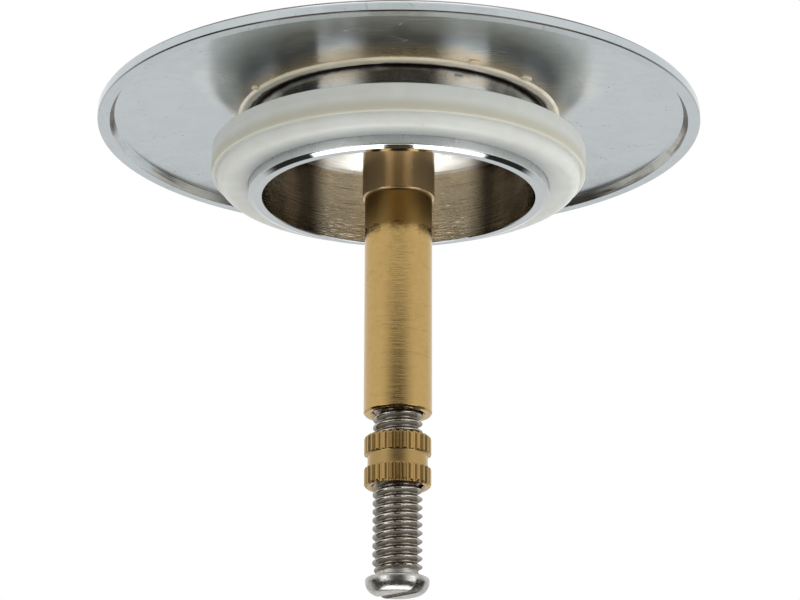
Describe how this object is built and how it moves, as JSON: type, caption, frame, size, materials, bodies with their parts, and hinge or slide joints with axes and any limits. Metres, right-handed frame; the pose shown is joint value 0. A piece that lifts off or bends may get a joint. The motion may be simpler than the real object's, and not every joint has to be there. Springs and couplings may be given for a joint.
{
  "type": "bath plug",
  "caption": "Bath plug: shallow domed metal cap over a turned hub with a flexible ring seal, on a brass stem with an adjusting screw and a knurled lock nut.",
  "frame": {"origin": "on the stem's axis, in the plane of the hub's rim, where the stem leaves the hub", "axes": "+Z along the stem's axis, up to the cap; the stem, lock nut and screw reach down along -Z; the part is round, so X and Y are free"},
  "size_m": [0.072, 0.072, 0.0592],
  "materials": {
    "cap_chrome": "bright chrome plate on pressed brass, polished, with faint grinding marks and fine scratches",
    "hub_chrome": "chrome plate on turned brass, bright outside, with turning marks in the cup",
    "solder": "tin solder, pale and uneven, with small pits and drops",
    "boss_nickel": "thin warm nickel plate on turned brass, satin",
    "stem_brass": "bare brass, satin, with fine turning marks and dark stains",
    "nut_brass": "bare brass, knurled, dark in the grooves",
    "screw_steel": "stainless steel, rolled thread, bright head",
    "seal_silicone": "translucent pale silicone rubber, matt"
  },
  "bodies": {
    "plug": {"cap": "cap_chrome", "solder_bead": "solder", "hub": "hub_chrome", "solder_pool": "solder", "stem_boss": "boss_nickel", "seal_ring": "seal_silicone", "stem": "stem_brass"},
    "screw": {"adjusting_screw": "screw_steel"},
    "nut": {"lock_nut": "nut_brass"}
  },
  "joints": [
    {"name": "screw_feed", "type": "slide", "parent": "plug", "child": "screw", "axis": [0, 0, 1], "range_m": [-0.007, 0.008]},
    {"name": "nut_feed", "type": "slide", "parent": "plug", "child": "nut", "axis": [0, 0, 1], "range_m": [-0.0106, 0.00265]}
  ]
}
